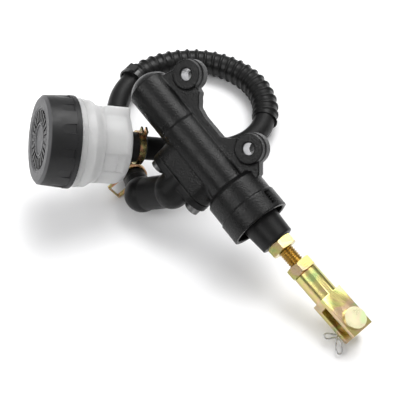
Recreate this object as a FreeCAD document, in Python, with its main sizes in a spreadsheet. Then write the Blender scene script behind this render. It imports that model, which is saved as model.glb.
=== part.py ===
"""Rear brake master cylinder with a remote reservoir, lying on a bench.

Units are millimetres. The origin is the front of the first mounting ear's hole.
+Z is up from the bench, and the bench lies bench_drop below the origin.
"""
import FreeCAD
import Part
import math
import os
import re
import Sketcher
from FreeCAD import Placement, Rotation, Vector

SIZES = {
    # the cylinder's attitude on the bench, in degrees
    "barrel_yaw": -50.0,
    "barrel_pitch": 18.0,
    "barrel_roll": 48.0,
    # mounting ears
    "ear_pitch": 50.0,
    "ear_start": 12.0,
    "ear_offset": 21.5,
    "ear_radius": 8.0,
    "ear_front_radius": 7.5,
    "ear_front": 5.0,
    "ear_depth": 9.5,
    "ear_step": 4.0,
    "ear_hole_radius": 3.1,
    "web_thickness": 6.0,
    # barrel
    "barrel_radius": 11.2,
    "barrel_rear_radius": 10.8,
    "barrel_step": 28.0,
    "dome_height": 6.0,
    "collar_start": 68.5,
    "collar_chamfer": 2.5,
    "collar_radius": 15.8,
    "mouth": 92.4,
    "mouth_radius": 13.8,
    "mouth_floor": 78.0,
    "bore_radius": 7.0,
    "bore_floor": 4.0,
    "shoulder": 73.4,
    "counterbore_radius": 9.2,
    "collar_body_radius": 15.2,
    "band_start": 81.5,
    "pocket_start": 9.5,
    "pocket_end": 2.4,
    "pocket_low": 3.0,
    "pocket_high": 6.8,
    "pocket_depth": 2.2,
    # ports
    "inlet_station": 48.0,
    "inlet_radius": 2.5,
    "bleed_station": 41.0,
    "bleed_radius": 0.5,
    "pad_face": 16.0,
    "pad_half_width": 9.0,
    "pad_screw_offset": 14.0,
    "pad_screw_radius": 2.5,
    "port_station": 10.0,
    "port_boss_radius": 8.0,
    "port_face": 17.0,
    "port_thread_radius": 4.6,
    "port_depth": 8.6,
    "port_drill_radius": 1.5,
    # piston set
    "fit": 0.04,
    "wire_radius": 0.6,
    "spring_radius": 5.4,
    "spring_turns": 7.0,
    "spring_start": 4.7,
    "spring_gap": 0.2,
    "seat_face": 37.5,
    "cup_face": 40.0,
    "piston_face": 44.5,
    "rear_cup": 64.0,
    "piston_end": 73.3,
    "ball_centre": 70.4,
    "ball_radius": 4.9,
    "socket_radius": 5.2,
    "washer_thickness": 1.5,
    "washer_hole_radius": 4.5,
    "circlip_thickness": 1.2,
    "circlip_radius": 10.0,
    # pushrod, measured from the ball's centre
    "rod_lean": 2.2,
    "rod_radius": 4.0,
    "rod_neck_radius": 2.5,
    "rod_neck_end": 17.5,
    "rod_end": 66.0,
    "nut_across_flats": 13.0,
    "stop_nut_start": 34.2,
    "stop_nut_thickness": 5.2,
    "jam_nut_start": 48.2,
    "jam_nut_thickness": 5.5,
    "boot_start": 8.5,
    "boot_end": 34.0,
    "boot_radius": 9.7,
    "boot_tip_radius": 8.9,
    "boot_foot_radius": 12.6,
    "boot_wall": 1.5,
    "clevis_start": 53.8,
    "clevis_neck_radius": 6.3,
    "fork_start": 69.2,
    "fork_end": 92.2,
    "fork_width": 12.4,
    "fork_slot": 6.2,
    "fork_slot_start": 73.5,
    "pin_station": 85.8,
    "pin_radius": 3.0,
    "pin_head_radius": 5.4,
    "pin_head_thickness": 2.0,
    "pin_tail": 3.4,
    "clip_wire_radius": 0.5,
    # reservoir, measured along its axis from the cap's face
    "cap_face_x": -74.1,
    "cap_face_y": -22.0,
    "cap_face_z": -23.9,
    "reservoir_yaw": 13.7,
    "reservoir_pitch": 20.0,
    "cap_radius": 23.8,
    "cap_length": 16.2,
    "cap_flutes": 24,
    "cap_flute_depth": 0.8,
    "cap_flute_radius": 3.2,
    "cap_wall": 2.0,
    "cap_skirt_radius": 21.2,
    "plate_thickness": 1.2,
    "neck_start": 4.8,
    "neck_radius": 20.6,
    "shoulder_start": 16.6,
    "shoulder_radius": 22.6,
    "shoulder_end": 24.0,
    "bottle_start": 28.0,
    "bottle_radius": 20.0,
    "bottle_end": 45.2,
    "bottle_round": 4.5,
    "bottle_wall": 1.8,
    "lug_turn": 41.8,
    "spigot_radius": 4.0,
    "spigot_hole_radius": 2.5,
    "sleeve_radius": 8.0,
    "sleeve_length": 11.0,
    "sleeve_gap": 0.3,
    # hose and what is on it
    "bench_drop": 74.6,
    "hose_radius": 6.3,
    "guard_inside_radius": 6.5,
    "guard_radius": 7.4,
    "tie_width": 3.6,
    "clamp_strip": 0.9,
    "clamp_width": 6.0,
    # elbow
    "flange_thickness": 4.0,
    "stub_radius": 9.6,
    "elbow_station": 26.0,
    "elbow_radius": 8.8,
    "elbow_arm": 12.0,
    "elbow_hole_radius": 3.2,
    "oring_radius": 5.2,
    "oring_wire_radius": 0.9,
    "screw_head_radius": 4.1,
    "screw_head_height": 4.0,
    "screw_hex_radius": 2.3,
    "screw_shank": 9.0,
}

doc = FreeCAD.newDocument("brake_master_cylinder")
sheet = doc.addObject("Spreadsheet::Sheet", "Sizes")
for row, (alias, number) in enumerate(SIZES.items(), start=1):
    sheet.set(f"A{row}", alias)
    sheet.set(f"B{row}", str(number))
    sheet.setAlias(f"B{row}", alias)
doc.recompute()

PARTS = []                 # the objects that become files
X_AXIS = Vector(1, 0, 0)
Y_AXIS = Vector(0, 1, 0)
Z_AXIS = Vector(0, 0, 1)


def size(alias):
    """Read one number from the sheet."""
    return float(sheet.get(alias))


def bound(text):
    """Turn a formula of aliases into a FreeCAD expression."""
    return re.sub(r"[a-z][a-z_]*", lambda word: "Sizes." + word.group(), str(text))


def bind(thing, **formulas):
    """Bind properties of an object to formulas of the sheet's aliases."""
    for name, text in formulas.items():
        thing.setExpression(name, bound(text))


def turned_to(axis, at=Vector()):
    """The placement that carries +Z onto an axis."""
    return Placement(at, Rotation(Z_AXIS, axis))


# ---- frames -------------------------------------------------------------------------

cylinder_turn = Rotation(size("barrel_yaw"), size("barrel_pitch"), size("barrel_roll"))
ear_front_centre = Vector(size("ear_start"), size("ear_offset"), size("ear_front"))
CYLINDER = Placement(cylinder_turn.multVec(ear_front_centre).negative(), cylinder_turn)

rod_turn = Rotation(size("barrel_yaw") + size("rod_lean"), size("barrel_pitch"), 0)
ball_place = CYLINDER.multVec(Vector(size("ball_centre"), 0, 0))
ROD = Placement(ball_place, rod_turn)

reservoir_turn = Rotation(size("reservoir_yaw"), size("reservoir_pitch"), 0)
cap_face = Vector(size("cap_face_x"), size("cap_face_y"), size("cap_face_z"))
RESERVOIR = Placement(cap_face, reservoir_turn)


# ---- building blocks ----------------------------------------------------------------

def keep(thing, label, frame):
    """Name a finished sub-part, place it and list it for export."""
    thing.Label = label
    thing.Placement = frame.multiply(thing.Placement)
    PARTS.append(thing)
    return thing


def cylinder(name, start, end, radius, axis=X_AXIS, at=(0, 0, 0)):
    """A round bar from start to end along an axis; the ends and radius are formulas."""
    bar = doc.addObject("Part::Cylinder", name)
    bind(bar, Radius=radius, Height=f"({end}) - ({start})")
    doc.recompute()
    low = float(sheet_value(start))
    base = Vector(*[float(sheet_value(one)) for one in at])
    bar.Placement = turned_to(axis, base + axis * low)
    return bar


def sheet_value(formula):
    """Work out a formula of aliases as a plain number."""
    numbers = re.sub(r"[a-z][a-z_]*", lambda word: f"({size(word.group())!r})", str(formula))
    total = FreeCAD.Units.Quantity(numbers)
    return total.Value


def box(name, low, high):
    """A block between two corners given as formulas."""
    block = doc.addObject("Part::Box", name)
    bind(block,
         Length=f"({high[0]}) - ({low[0]})",
         Width=f"({high[1]}) - ({low[1]})",
         Height=f"({high[2]}) - ({low[2]})")
    block.Placement.Base = Vector(*[sheet_value(one) for one in low])
    return block


def cone(name, start, end, first_radius, last_radius):
    """A cone along +X."""
    solid = doc.addObject("Part::Cone", name)
    bind(solid, Radius1=first_radius, Radius2=last_radius, Height=f"({end}) - ({start})")
    solid.Placement = turned_to(X_AXIS, Vector(sheet_value(start), 0, 0))
    return solid


def sphere(name, centre, radius):
    ball = doc.addObject("Part::Sphere", name)
    bind(ball, Radius=radius)
    ball.Placement.Base = Vector(*[sheet_value(one) for one in centre])
    return ball


def torus(name, centre, ring_radius, wire_radius, axis):
    ring = doc.addObject("Part::Torus", name)
    bind(ring, Radius1=ring_radius, Radius2=wire_radius)
    ring.Placement = turned_to(axis, Vector(*[sheet_value(one) for one in centre]))
    return ring


def fuse(name, *shapes):
    joined = doc.addObject("Part::MultiFuse", name)
    joined.Shapes = list(shapes)
    joined.Refine = True
    return joined


def cut(name, base, tool):
    less = doc.addObject("Part::Cut", name)
    less.Base = base
    less.Tool = tool
    return less


def origin_plane(body, role):
    """One of a body's own origin planes or axes."""
    return next(one for one in body.Origin.OriginFeatures if one.Role == role)


def outline(sketch, corners):
    """Draw a closed outline whose corners are bound to formulas."""
    spots = [Vector(sheet_value(across), sheet_value(up), 0) for across, up in corners]
    count = len(spots)
    for index in range(count):
        sketch.addGeometry(Part.LineSegment(spots[index], spots[(index + 1) % count]))
    for index in range(count):
        sketch.addConstraint(Sketcher.Constraint("Coincident", index, 2, (index + 1) % count, 1))
    for index, (across, up) in enumerate(corners):
        for kind, text, value in (("DistanceX", across, spots[index].x),
                                  ("DistanceY", up, spots[index].y)):
            number = sketch.addConstraint(Sketcher.Constraint(kind, -1, 1, index, 1, value))
            sketch.setExpression(f"Constraints[{number}]", bound(text))


def sketch_in(body, name, role, corners):
    sketch = body.newObject("Sketcher::SketchObject", name)
    sketch.AttachmentSupport = (origin_plane(body, role), [""])
    sketch.MapMode = "FlatFace"
    outline(sketch, corners)
    return sketch


def turned(name, profile):
    """A PartDesign body turned about its X axis from a profile of (station, radius)."""
    body = doc.addObject("PartDesign::Body", name)
    sketch = sketch_in(body, name + "_profile", "XY_Plane", profile)
    turn = body.newObject("PartDesign::Revolution", name + "_turn")
    turn.Profile = sketch
    turn.ReferenceAxis = (sketch, ["H_Axis"])
    turn.Angle = 360.0
    body.Tip = turn
    return body


def ring_profile(start, end, inner, outer):
    return [(start, inner), (end, inner), (end, outer), (start, outer)]


def hex_corners(across_flats):
    """The corners of a hexagon, two of them on the first axis."""
    corners = []
    for index in range(6):
        angle = math.radians(60 * index)
        across = f"{across_flats} * {math.cos(angle) / math.sqrt(3):.9f}"
        up = f"{across_flats} * {math.sin(angle) / math.sqrt(3):.9f}"
        corners.append((across, up))
    return corners


def oval(name, start, end, extra="0"):
    """The inlet flange's oval slab, from start to end below the barrel's axis."""
    half = f"pad_half_width + {extra}"
    middle = box(name + "_middle",
                 ("inlet_station - pad_screw_offset + 3.6", f"-({end})", f"-({half})"),
                 ("inlet_station + pad_screw_offset - 3.6", f"-({start})", half))
    ends = [cylinder(f"{name}_end_{index}", start, end, half, Y_AXIS.negative(),
                     (f"inlet_station {sign} (pad_screw_offset - 3.6)", "0", "0"))
            for index, sign in enumerate("-+")]
    return fuse(name, middle, *ends)


# ---- the casting --------------------------------------------------------------------

def make_web():
    """The plate that ties the barrel to the ears, cut between the ears."""
    sketch = doc.addObject("Sketcher::SketchObject", "web_outline")
    outline(sketch, [
        ("2.0", "5.0"),
        ("2.4", "barrel_radius"),
        ("ear_start - 7.0", "ear_offset - 2.4"),
        ("ear_start", "ear_offset"),
        ("ear_start + 7.4", "ear_offset - 0.6"),
        ("ear_start + 11.2", "ear_offset - 1.2"),
        ("ear_start + 12.6", "ear_offset - 3.2"),
        ("26.2", "17.0"),
        ("28.0", "14.9"),
        ("33.6", "13.8"),
        ("47.2", "13.8"),
        ("50.4", "16.4"),
        ("ear_start + ear_pitch - 7.2", "ear_offset"),
        ("ear_start + ear_pitch + 7.2", "ear_offset"),
        ("71.2", "19.6"),
        ("74.6", "16.6"),
        ("76.0", "5.0"),
    ])
    web = doc.addObject("Part::Extrusion", "web")
    web.Base = sketch
    web.DirMode = "Custom"
    web.Dir = Z_AXIS
    web.Solid = True
    web.Symmetric = True
    bind(web, LengthFwd="web_thickness")
    return web


def make_casting():
    """Barrel, dome, collar, web, ears, inlet pad and outlet boss in one casting."""
    rim = "(barrel_radius - 0.2)"
    dome_radius = f"({rim} * {rim} / dome_height + dome_height) / 2"
    dome = sphere("dome", (f"{dome_radius} - dome_height", "0", "0"), dome_radius)
    dome.Placement = turned_to(X_AXIS, dome.Placement.Base)
    dome.Angle1 = -90
    dome.Angle2 = -math.degrees(math.asin(1 - size("dome_height") / sheet_value(dome_radius)))
    solids = [
        dome,
        cylinder("barrel_front", "0", "barrel_step", "barrel_radius"),
        cylinder("barrel_rear", "barrel_step", "collar_start + 1", "barrel_rear_radius"),
        cone("collar_slope", "collar_start", "collar_start + collar_chamfer",
             "collar_body_radius - 2.2", "collar_body_radius"),
        cylinder("collar", "collar_start + collar_chamfer", "band_start + 1",
                 "collar_body_radius"),
        cylinder("collar_band", "band_start", "mouth", "collar_radius"),
        make_web(),
        oval("pad", "2.0", "pad_face"),
        cylinder("port_boss", "2.0", "port_face", "port_boss_radius", Z_AXIS.negative(),
                 ("port_station", "0", "0")),
    ]
    holes = [
        cylinder("bore", "bore_floor", "shoulder", "bore_radius"),
        cylinder("counterbore", "shoulder", "mouth_floor", "counterbore_radius"),
        cylinder("groove", "shoulder + washer_thickness",
                 "shoulder + washer_thickness + circlip_thickness", "circlip_radius + 0.1"),
        cylinder("wide_mouth", "mouth_floor", "mouth + 1", "mouth_radius"),
        cylinder("inlet", "0", "pad_face + 1", "inlet_radius", Y_AXIS.negative(),
                 ("inlet_station", "0", "0")),
        cylinder("bleed", "0", "barrel_radius - 1", "bleed_radius", Y_AXIS.negative(),
                 ("bleed_station", "0", "0")),
        cylinder("port_thread", "port_face - port_depth", "port_face + 1",
                 "port_thread_radius", Z_AXIS.negative(), ("port_station", "0", "0")),
        cylinder("port_drill", "0", "port_face", "port_drill_radius", Z_AXIS.negative(),
                 ("port_station", "0", "0")),
    ]
    for index in range(2):
        place = (f"ear_start + {index} * ear_pitch", "ear_offset", "0")
        solids.append(cylinder(f"ear_back_{index}", "ear_front - ear_depth",
                               "ear_front - ear_step", "ear_radius", Z_AXIS, place))
        solids.append(cylinder(f"ear_face_{index}", "ear_front - ear_step",
                               "ear_front", "ear_front_radius", Z_AXIS, place))
        holes.append(cylinder(f"ear_hole_{index}", "ear_front - ear_depth - 1",
                              "ear_front + 1", "ear_hole_radius", Z_AXIS, place))
        side = ("-", "+")[index]
        low, high = sorted((f"0 {side} (collar_radius - pocket_depth)",
                            f"0 {side} (collar_radius + 1)"), key=sheet_value)
        holes.append(box(f"pocket_{index}", ("mouth - pocket_start", low, "pocket_low"),
                         ("mouth - pocket_end", high, "pocket_high")))
        holes.append(cylinder(f"tapping_{index}", "pad_face - screw_shank",
                              "pad_face + 1", "pad_screw_radius", Y_AXIS.negative(),
                              (f"inlet_station {side} pad_screw_offset", "0", "0")))
    casting = cut("casting", fuse("casting_solid", *solids), fuse("casting_holes", *holes))
    keep(casting, "cylinder_body", CYLINDER)


# ---- inside the barrel --------------------------------------------------------------

def make_spring():
    """The return spring, as a round wire swept along a helix."""
    free = size("seat_face") - size("spring_start") - 2 * size("wire_radius")
    pitch = free / size("spring_turns")
    helix = Part.makeHelix(pitch, free, size("spring_radius"))
    start = Vector(size("spring_radius"), 0, 0)
    heading = Vector(0, 2 * math.pi * size("spring_radius"), pitch)
    section = Part.Wire(Part.makeCircle(size("wire_radius"), start, heading))
    spring = doc.addObject("Part::Feature", "spring")
    spring.Shape = Part.Wire(helix.Edges).makePipeShell([section], True, True)
    first = size("spring_start") + size("wire_radius") - size("spring_gap")
    spring.Placement = turned_to(X_AXIS, Vector(first, 0, 0))
    keep(spring, "return_spring", CYLINDER)


def make_piston_set():
    seat = turned("seat", [
        ("seat_face", "3.1"), ("seat_face", "6.2"), ("seat_face + 1.2", "6.2"),
        ("cup_face - 0.1", "4.6"), ("cup_face - 0.1", "3.1")])
    keep(seat, "spring_seat", CYLINDER)
    front_cup = turned("front_cup", [
        ("cup_face", "3.1"), ("cup_face + 1.4", "3.1"), ("piston_face", "3.1"),
        ("piston_face", "bore_radius - 0.6"), ("cup_face + 1.4", "bore_radius - fit"),
        ("cup_face", "bore_radius - fit"), ("cup_face", "bore_radius - 1.2"),
        ("cup_face + 1.6", "bore_radius - 2.2"), ("cup_face + 1.6", "4.2"),
        ("cup_face", "4.0")])
    keep(front_cup, "primary_cup", CYLINDER)
    piston = turned("piston_turned", [
        ("seat_face + 0.4", "0"), ("seat_face + 0.4", "3.0"), ("piston_face", "3.0"),
        ("piston_face", "bore_radius - fit"), ("piston_face + 2.6", "bore_radius - fit"),
        ("piston_face + 2.6", "4.4"), ("rear_cup - 2.2", "4.4"),
        ("rear_cup - 2.2", "bore_radius - fit"), ("rear_cup", "bore_radius - fit"),
        ("rear_cup", "bore_radius - 2.0"), ("rear_cup + 2.6", "bore_radius - 2.0"),
        ("rear_cup + 2.6", "bore_radius - fit"), ("piston_end", "bore_radius - fit"),
        ("piston_end", "socket_radius"), ("ball_centre", "socket_radius"),
        ("ball_centre - 2.5", "4.9"), ("ball_centre - 4.0", "3.4"), ("ball_centre - 5.1", "1.6"), ("ball_centre - 5.1", "0")])
    keep(piston, "piston", CYLINDER)
    back_cup = turned("back_cup", [
        ("rear_cup + 0.1", "bore_radius - 1.9"), ("rear_cup + 2.5", "bore_radius - 1.9"),
        ("rear_cup + 2.5", "bore_radius - 0.5"), ("rear_cup + 1.0", "bore_radius - fit"),
        ("rear_cup + 0.1", "bore_radius - fit")])
    keep(back_cup, "secondary_cup", CYLINDER)


def make_retainers():
    washer = turned("washer", ring_profile(
        "shoulder + 0.01", "shoulder + washer_thickness", "washer_hole_radius",
        "counterbore_radius - 0.1"))
    keep(washer, "stop_washer", CYLINDER)
    ring = turned("ring", ring_profile(
        "shoulder + washer_thickness + 0.05",
        "shoulder + washer_thickness + circlip_thickness - 0.05",
        "counterbore_radius - 1.6", "circlip_radius"))
    gap = box("ring_gap", ("shoulder", "0", "-1.6"), ("mouth_floor", "circlip_radius + 1", "1.6"))
    keep(cut("split_ring", ring, gap), "circlip", CYLINDER)


# ---- pushrod and clevis -------------------------------------------------------------

def make_pushrod():
    ball = sphere("ball", ("0", "0", "0"), "ball_radius")
    neck = cylinder("rod_neck", "0", "rod_neck_end", "rod_neck_radius")
    bar = cylinder("rod_bar", "rod_neck_end", "rod_end", "rod_radius")
    keep(fuse("rod", ball, neck, bar), "pushrod", ROD)


def make_nut(name, label, start, thickness):
    """A hexagon nut whose corners are chamfered on both faces."""
    body = doc.addObject("PartDesign::Body", name)
    sketch = sketch_in(body, name + "_hexagon", "YZ_Plane", hex_corners("nut_across_flats"))
    pad = body.newObject("PartDesign::Pad", name + "_pad")
    pad.Profile = sketch
    bind(pad, Length=thickness)
    body.Tip = pad
    top = f"nut_across_flats * {1 / math.sqrt(3):.9f}"
    shape = turned(name + "_shape", [
        ("0", "rod_radius + 0.02"), ("0", "nut_across_flats / 2"), ("0.5", top),
        (f"{thickness} - 0.5", top), (thickness, "nut_across_flats / 2"),
        (thickness, "rod_radius + 0.02")])
    nut = doc.addObject("Part::Common", name + "_common")
    nut.Base = body
    nut.Tool = shape
    nut.Placement.Base = Vector(size(start), 0, 0)
    keep(nut, label, ROD)


def make_boot():
    """A rubber boot: a foot in the collar's mouth, a long cone and a rounded lip."""
    boot = turned("boot_turned", [
        ("boot_start", "boot_foot_radius - 3.4"), ("boot_start", "boot_foot_radius"),
        ("boot_start + 2.4", "boot_foot_radius"), ("boot_start + 4.4", "boot_radius + 0.4"),
        ("boot_start + 13.0", "boot_radius"), ("boot_end - 0.8", "boot_tip_radius"),
        ("boot_end", "boot_tip_radius - 0.8"), ("boot_end", "rod_radius + 0.02"),
        ("boot_end - 2.0", "rod_radius + 0.02"),
        ("boot_end - 2.4", "boot_tip_radius - boot_wall"),
        ("boot_start + 13.0", "boot_radius - boot_wall"),
        ("boot_start + 4.4", "boot_radius + 0.4 - boot_wall")])
    keep(boot, "boot", ROD)


def make_clevis():
    neck = cylinder("clevis_neck", "clevis_start", "fork_start + 1", "clevis_neck_radius")
    half = "fork_width / 2"
    block = box("fork_block", ("fork_start", f"-{half}", f"-{half}"), ("fork_end", half, half))
    slot = box("fork_slot_tool", ("fork_slot_start", "-fork_width", "-fork_slot / 2"),
               ("fork_end + 1", "fork_width", "fork_slot / 2"))
    eye = cylinder("fork_eye", "-fork_width", "fork_width", "pin_radius + 0.05", Z_AXIS,
                   ("pin_station", "0", "0"))
    tapping = cylinder("clevis_tapping", "clevis_start - 1", "rod_end + 1.5",
                       "rod_radius + 0.02")
    clevis = cut("clevis_cut", fuse("clevis_solid", neck, block),
                 fuse("clevis_holes", slot, eye, tapping))
    keep(clevis, "clevis", ROD)


def make_clevis_pin():
    place = ("pin_station", "0", "0")
    shank = cylinder("pin_shank", "-fork_width / 2 - pin_tail", "fork_width / 2 + 1",
                     "pin_radius", Z_AXIS, place)
    head = cylinder("pin_head", "fork_width / 2 + 0.1",
                    "fork_width / 2 + 0.1 + pin_head_thickness", "pin_head_radius",
                    Z_AXIS, place)
    cross = cylinder("pin_cross", "-pin_radius - 1", "pin_radius + 1",
                     "clip_wire_radius + 0.3", Y_AXIS,
                     ("pin_station", "0", "-fork_width / 2 - pin_tail / 2"))
    keep(cut("pin_cut", fuse("pin_solid", shank, head), cross), "clevis_pin", ROD)


def make_clip():
    """The wire clip: a leg through the pin's cross hole and a loop at each end."""
    level = "-fork_width / 2 - pin_tail / 2"
    leg = cylinder("clip_leg", "-7.0", "4.4", "clip_wire_radius", Y_AXIS,
                   ("pin_station", "0", level))
    eye = torus("clip_eye", ("pin_station", "-9.5", level), "2.6", "clip_wire_radius", Z_AXIS)
    curl = torus("clip_curl", ("pin_station - 4.6", "-7.9", level), "2.2",
                 "clip_wire_radius", Z_AXIS)
    keep(fuse("clip", leg, eye, curl), "split_pin", ROD)


# ---- reservoir ----------------------------------------------------------------------

def make_cap():
    """A fluted cap with a plain rim, hollow below its face."""
    body = doc.addObject("PartDesign::Body", "cap_turned")
    sketch = sketch_in(body, "cap_profile", "XY_Plane", [
        ("0.9", "0"), ("0.9", "cap_radius - 8.0"), ("0", "cap_radius - 7.0"),
        ("0", "cap_radius - 2.6"), ("1.2", "cap_radius - 1.2"),
        ("cap_length - 2.2", "cap_radius - 0.2"), ("cap_length - 2.2", "cap_radius"),
        ("cap_length", "cap_radius"), ("cap_length", "cap_skirt_radius"),
        ("cap_wall + 0.9", "cap_skirt_radius"), ("cap_wall + 0.9", "0")])
    turn = body.newObject("PartDesign::Revolution", "cap_turn")
    turn.Profile = sketch
    turn.ReferenceAxis = (sketch, ["H_Axis"])
    turn.Angle = 360.0
    doc.recompute()
    flute = sketch_in(body, "cap_flute_profile", "YZ_Plane", [
        ("cap_radius - cap_flute_depth", "-cap_flute_radius + 0.9"),
        ("cap_radius + 2", "-cap_flute_radius - 0.3"),
        ("cap_radius + 2", "cap_flute_radius + 0.3"),
        ("cap_radius - cap_flute_depth", "cap_flute_radius - 0.9")])
    pocket = body.newObject("PartDesign::Pocket", "cap_flute")
    pocket.Profile = flute
    pocket.Reversed = True
    bind(pocket, Length="cap_length - 2.8")
    doc.recompute()
    around = body.newObject("PartDesign::PolarPattern", "cap_flute_pattern")
    around.Originals = [pocket]
    around.Axis = (origin_plane(body, "X_Axis"), [""])
    around.Angle = 360.0
    around.Occurrences = int(size("cap_flutes")) // 2
    body.Tip = around
    doc.recompute()
    if around.Shape.Volume >= turn.Shape.Volume - 1.0:
        raise RuntimeError("the cap's flutes cut nothing")
    keep(body, "reservoir_cap", RESERVOIR)


def make_cap_lining():
    plate_start = "cap_wall + 1.0"
    plate = turned("plate", [
        (plate_start, "0"), (f"{plate_start} + plate_thickness", "0"),
        (f"{plate_start} + plate_thickness", "cap_skirt_radius - 0.5"),
        (plate_start, "cap_skirt_radius - 0.5")])
    keep(plate, "diaphragm_plate", RESERVOIR)
    lip = f"{plate_start} + plate_thickness + 0.05"
    bellows = turned("bellows", [
        (lip, "16.0"), (lip, "neck_radius - 0.1"),
        ("neck_start + 1.2", "neck_radius - 0.1"), ("neck_start + 1.2", "17.4"),
        ("neck_start + 8.0", "16.6"), ("neck_start + 8.0", "0"),
        ("neck_start + 6.8", "0"), ("neck_start + 6.8", "15.4")])
    keep(bellows, "diaphragm", RESERVOIR)


def make_bottle():
    """The translucent bottle with its outlet spigot and a raised side lug."""
    wall = "bottle_wall"
    top = "neck_start + 1.3"
    bottle = turned("bottle_turned", [
        (top, f"neck_radius - {wall}"), (top, "neck_radius"),
        ("shoulder_start", "neck_radius"), ("shoulder_start", "shoulder_radius"),
        ("shoulder_end", "shoulder_radius"), ("bottle_start", "bottle_radius"),
        ("bottle_end - bottle_round", "bottle_radius"),
        ("bottle_end - 1.4", "bottle_radius - 1.3"),
        ("bottle_end", "bottle_radius - bottle_round"),
        ("bottle_end", "spigot_radius"),
        ("bottle_end + sleeve_length", "spigot_radius"),
        ("bottle_end + sleeve_length", "spigot_hole_radius"),
        (f"bottle_end - {wall}", "spigot_hole_radius"),
        (f"bottle_end - {wall}", "bottle_radius - bottle_round - 1"),
        (f"bottle_end - {wall} - 3.6", f"bottle_radius - {wall}"),
        ("bottle_start", f"bottle_radius - {wall}"),
        (f"shoulder_end - {wall}", f"shoulder_radius - {wall}"),
        (f"shoulder_start + {wall}", f"shoulder_radius - {wall}"),
        (f"shoulder_start + {wall}", f"neck_radius - {wall}")])
    lug = box("lug_block", ("bottle_end - 15.6", "bottle_radius - 12", "2"),
              ("bottle_end - 1.8", "bottle_radius - 1.2", "bottle_radius - 5.6"))
    lug.Placement = Placement(Vector(), Rotation(X_AXIS, size("lug_turn"))).multiply(lug.Placement)
    inside = cylinder("lug_inside", "bottle_start - 2", "bottle_end + 1", f"bottle_radius - {wall} / 2")
    keep(fuse("bottle", bottle, cut("lug", lug, inside)), "reservoir_bottle", RESERVOIR)


def make_outlet_sleeve():
    start = "bottle_end + sleeve_gap"
    sleeve = turned("sleeve", [
        (start, "spigot_radius + 0.02"), (start, "sleeve_radius - 0.4"),
        (f"{start} + 0.6", "sleeve_radius"), ("bottle_end + sleeve_length - 0.8", "sleeve_radius"),
        ("bottle_end + sleeve_length", "sleeve_radius - 0.8"),
        ("bottle_end + sleeve_length", "spigot_radius + 0.02")])
    keep(sleeve, "outlet_sleeve", RESERVOIR)
    start = "bottle_end + sleeve_length - 4.6"
    band = turned("outlet_band", ring_profile(
        start, f"{start} + 3.4", "sleeve_radius + 0.02", "sleeve_radius + clamp_strip"))
    ears = [box(f"outlet_ear_{index}",
                (f"{start} + {2.4 * index}", "-1.6", "sleeve_radius + 0.2"),
                (f"{start} + {2.4 * index} + 1.0", "2.4", "sleeve_radius + 4.8"))
            for index in range(2)]
    keep(fuse("outlet_clamp_solid", band, *ears), "outlet_clamp", RESERVOIR)


# ---- hose ---------------------------------------------------------------------------

def hose_route():
    """The route's points: outlet, under the barrel, round the loop and to the elbow."""
    lying = size("guard_radius") + 1.3 - size("bench_drop")
    leaving = RESERVOIR.multVec(Vector(size("bottle_end") + size("sleeve_length") + 0.1, 0, 0))
    return [
        leaving,
        Vector(-4.6, -5.2, -50.0),
        Vector(13.2, 1.0, -57.6),
        Vector(30.2, 11.0, -63.6),
        Vector(42.2, 25.0, lying),
        Vector(46.4, 42.0, lying),
        Vector(43.0, 59.0, lying),
        Vector(33.0, 73.0, lying),
        Vector(18.8, 82.2, lying),
        Vector(2.0, 85.6, lying),
        Vector(-15.0, 82.4, lying),
        Vector(-29.6, 73.0, lying),
        Vector(-38.8, 58.8, lying),
        Vector(-41.6, 42.0, lying),
        Vector(-39.4, 25.4, lying),
        Vector(-35.6, 9.8, -66.4),
        Vector(-31.2, -4.4, -64.6),
        Vector(-27.2, -16.0, -62.4),
    ]


def route_edges(points):
    """Straight runs, each split at its middle, joined by tangent arcs."""
    edges = []
    radii = []
    start = points[0]
    for before, corner, after in zip(points, points[1:], points[2:]):
        back = before - corner
        ahead = after - corner
        setback = 0.45 * min(back.Length, ahead.Length)
        half_turn = (math.pi - back.getAngle(ahead)) / 2
        radius = setback / math.tan(half_turn)
        radii.append(radius)
        back.normalize()
        ahead.normalize()
        into = (back + ahead).normalize()
        first = corner + back * setback
        last = corner + ahead * setback
        middle = corner + into * (math.hypot(radius, setback) - radius)
        halfway = (before + corner) * 0.5
        edges += [Part.LineSegment(start, halfway).toShape(),
                  Part.LineSegment(halfway, first).toShape(),
                  Part.Arc(first, middle, last).toShape()]
        start = last
    halfway = (points[-2] + points[-1]) * 0.5
    edges += [Part.LineSegment(start, halfway).toShape(),
              Part.LineSegment(halfway, points[-1]).toShape()]
    return edges, radii


def swept(edges, radius):
    """A round bar along a chain of edges, with its volume checked."""
    path = Part.Wire(edges)
    start = edges[0].Vertexes[0].Point
    heading = edges[0].Vertexes[1].Point - start
    section = Part.Wire(Part.makeCircle(radius, start, heading))
    solid = path.makePipeShell([section], True, False)
    expected = math.pi * radius ** 2 * path.Length
    print(f"swept radius {radius}: length {path.Length:.1f}, "
          f"volume {solid.Volume:.0f}, expected {expected:.0f}")
    return solid


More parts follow.
